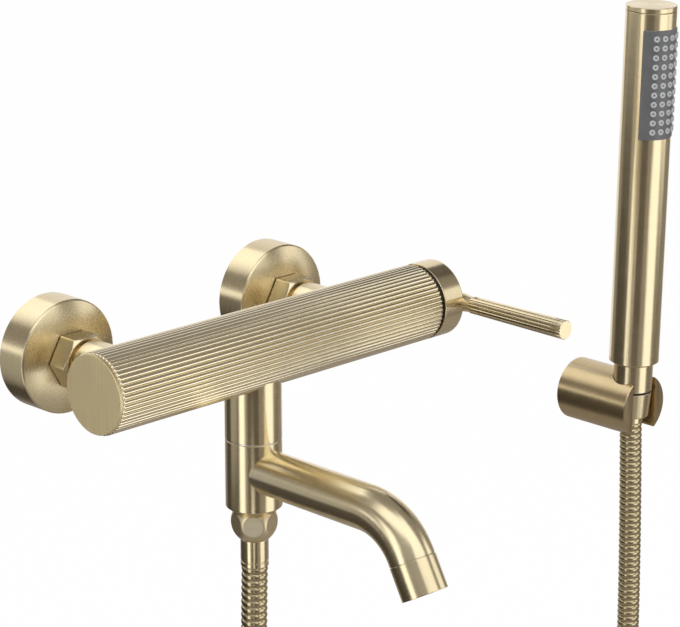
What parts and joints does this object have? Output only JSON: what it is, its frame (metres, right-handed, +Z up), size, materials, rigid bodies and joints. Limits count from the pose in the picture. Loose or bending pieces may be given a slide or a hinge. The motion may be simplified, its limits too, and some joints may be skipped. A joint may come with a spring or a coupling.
{
  "type": "bath tap",
  "caption": "Wall-mounted bath mixer with a ridged round body, side lever, swivel spout, wall holder and a slim hand shower on a ribbed hose",
  "frame": {"origin": "midway between the two inlet studs, on the plane of the wall at the height of the body's axis", "axes": "+X to the right along the body, +Y into the wall, +Z up"},
  "size_m": [0.4757, 0.2265, 0.6408],
  "materials": {
    "brushed_gold": "satin brushed, pale champagne gold",
    "hose_metal": "polished ribbed winding, champagne gold",
    "pale_metal": "polished",
    "bare_brass": "machined",
    "steel": "machined",
    "black_plastic": "matt",
    "white_plastic": "matt",
    "grey_plastic": "satin",
    "nozzle_rubber": "soft silicone",
    "seal_rubber": "matt",
    "ceramic": "lapped flat"
  },
  "bodies": {
    "base": {"wall_union_left": "bare_brass", "escutcheon_left": "brushed_gold", "inlet_strainer_left": "white_plastic", "inlet_washer_left": "seal_rubber", "union_nut_left": "brushed_gold", "inlet_tail_left": "brushed_gold", "wall_union_right": "bare_brass", "escutcheon_right": "brushed_gold", "inlet_strainer_right": "white_plastic", "inlet_washer_right": "seal_rubber", "union_nut_right": "brushed_gold", "inlet_tail_right": "brushed_gold", "mixer_body": "brushed_gold", "end_disc": "brushed_gold", "cartridge_seals": "seal_rubber", "cartridge_base": "white_plastic", "cartridge_housing": "white_plastic", "ceramic_disc_fixed": "ceramic", "cartridge_nut": "bare_brass", "outlet_column": "brushed_gold", "seam_ring": "pale_metal", "spout_core": "bare_brass", "core_seals": "seal_rubber", "outlet_nipple": "bare_brass", "hose_nut_tap": "brushed_gold", "hose_washer_tap": "seal_rubber", "hose_ferrule_tap": "brushed_gold", "hose_run_tap": "hose_metal", "hose_coil": "hose_metal", "coil_tie": "black_plastic", "hose_run_handset": "hose_metal", "holder_body": "brushed_gold", "holder_base": "bare_brass", "holder_screws": "steel", "holder_grub_screw": "steel"},
    "carrier": {"cartridge_carrier": "white_plastic", "carrier_pin": "steel"},
    "mixing_disc": {"ceramic_disc_moving": "ceramic"},
    "lever": {"lever_spindle": "steel", "lever_cap": "brushed_gold", "trim_ring": "black_plastic", "lever_neck": "brushed_gold", "lever_stick": "brushed_gold", "lever_grub_screw": "steel"},
    "spout": {"spout_hub": "brushed_gold", "spout_tube": "brushed_gold", "aerator_sleeve": "brushed_gold", "aerator_insert": "white_plastic", "aerator_seal": "seal_rubber"},
    "hose_end": {"hose_ferrule_handset": "brushed_gold"},
    "hand_shower": {"hose_nut_handset": "brushed_gold", "hose_washer_handset": "seal_rubber", "handset_connector": "brushed_gold", "connector_ring": "black_plastic", "handset_tube": "brushed_gold", "handset_cap": "brushed_gold", "spray_plate": "grey_plastic", "nozzle_mat": "nozzle_rubber", "spray_chamber": "white_plastic"}
  },
  "joints": [
    {"name": "lever_turn", "type": "hinge", "parent": "base", "child": "carrier", "pos_m": [0.113, -0.075, 0], "axis": [1, 0, 0], "range_deg": [-50, 50]},
    {"name": "lever_tilt", "type": "hinge", "parent": "carrier", "child": "lever", "pos_m": [0.113, -0.075, 0], "axis": [0, 0, 1], "range_deg": [0, 18]},
    {"name": "disc_slide", "type": "slide", "parent": "carrier", "child": "mixing_disc", "axis": [0, -1, 0], "range_m": [0, 0.0047]},
    {"name": "spout_swivel", "type": "hinge", "parent": "base", "child": "spout", "pos_m": [0, -0.075, -0.0642], "axis": [0, 0, 1], "range_deg": [-90, 90]},
    {"name": "shower_lift", "type": "slide", "parent": "base", "child": "hose_end", "axis": [0, -0.0209, 0.9998], "range_m": [0, 0.045], "deforming": ["hose_run_handset"]},
    {"name": "shower_turn", "type": "hinge", "parent": "hose_end", "child": "hand_shower", "pos_m": [0.3497, -0.0442, -0.119], "axis": [0, -0.0209, 0.9998], "range_deg": [-180, 180]}
  ],
  "couplings": [
    {"joint": "disc_slide", "follows": "lever_tilt", "m_per_rad": 0.0148}
  ]
}
